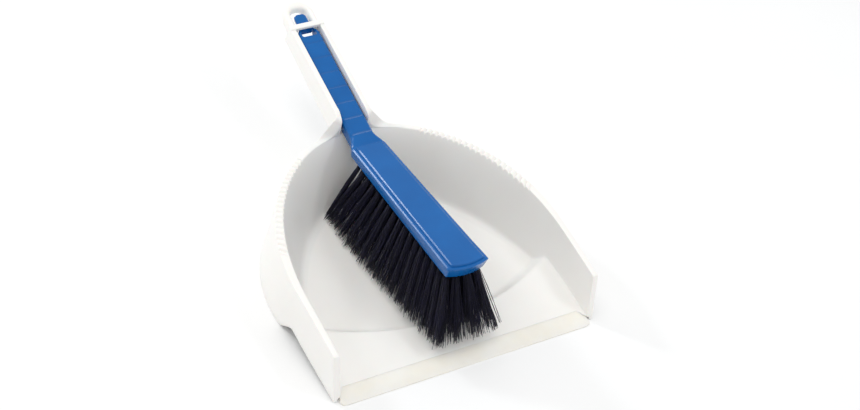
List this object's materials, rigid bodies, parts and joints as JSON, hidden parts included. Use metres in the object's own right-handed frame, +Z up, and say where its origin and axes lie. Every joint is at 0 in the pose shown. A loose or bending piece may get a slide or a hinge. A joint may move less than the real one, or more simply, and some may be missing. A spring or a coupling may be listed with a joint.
{
  "type": "dust pan and brush set",
  "caption": "Dust pan with curved walls, a rubber lip and a channel handle, and a hand brush clipped into it with its head over the pan and its tip under a bridge bar.",
  "frame": {"origin": "on the floor under the middle of the set's bounding box", "axes": "+Y from the rubber lip towards the hanging loop; +Z up from the floor the pan stands on; +X completes the right-handed set, and is to the right when looking from the lip towards the loop"},
  "size_m": [0.2488, 0.347, 0.0966],
  "materials": {
    "pan_plastic": "satin moulded polypropylene, off-white",
    "lip_rubber": "soft cream thermoplastic rubber",
    "brush_plastic": "semi-gloss moulded polypropylene, blue",
    "bristle": "black synthetic filament with flagged ends",
    "anchor_steel": "plain flat wire"
  },
  "bodies": {
    "pan": {"dustpan": "pan_plastic", "rubber_lip": "lip_rubber"},
    "brush": {"brush_block": "brush_plastic", "tuft_anchors": "anchor_steel", "tuft_row_01": "bristle", "tuft_row_02": "bristle", "tuft_row_03": "bristle", "tuft_row_04": "bristle", "tuft_row_05": "bristle", "tuft_row_06": "bristle", "tuft_row_07": "bristle", "tuft_row_08": "bristle", "tuft_row_09": "bristle", "tuft_row_10": "bristle", "tuft_row_11": "bristle", "tuft_row_12": "bristle", "tuft_row_13": "bristle", "tuft_row_14": "bristle", "tuft_row_15": "bristle", "tuft_row_16": "bristle", "tuft_row_17": "bristle"}
  },
  "joints": [
    {"name": "brush_lift", "type": "hinge", "parent": "pan", "child": "brush", "pos_m": [0, 0.144, 0.0893], "axis": [-1, 0, 0], "range_deg": [0, 20]}
  ]
}
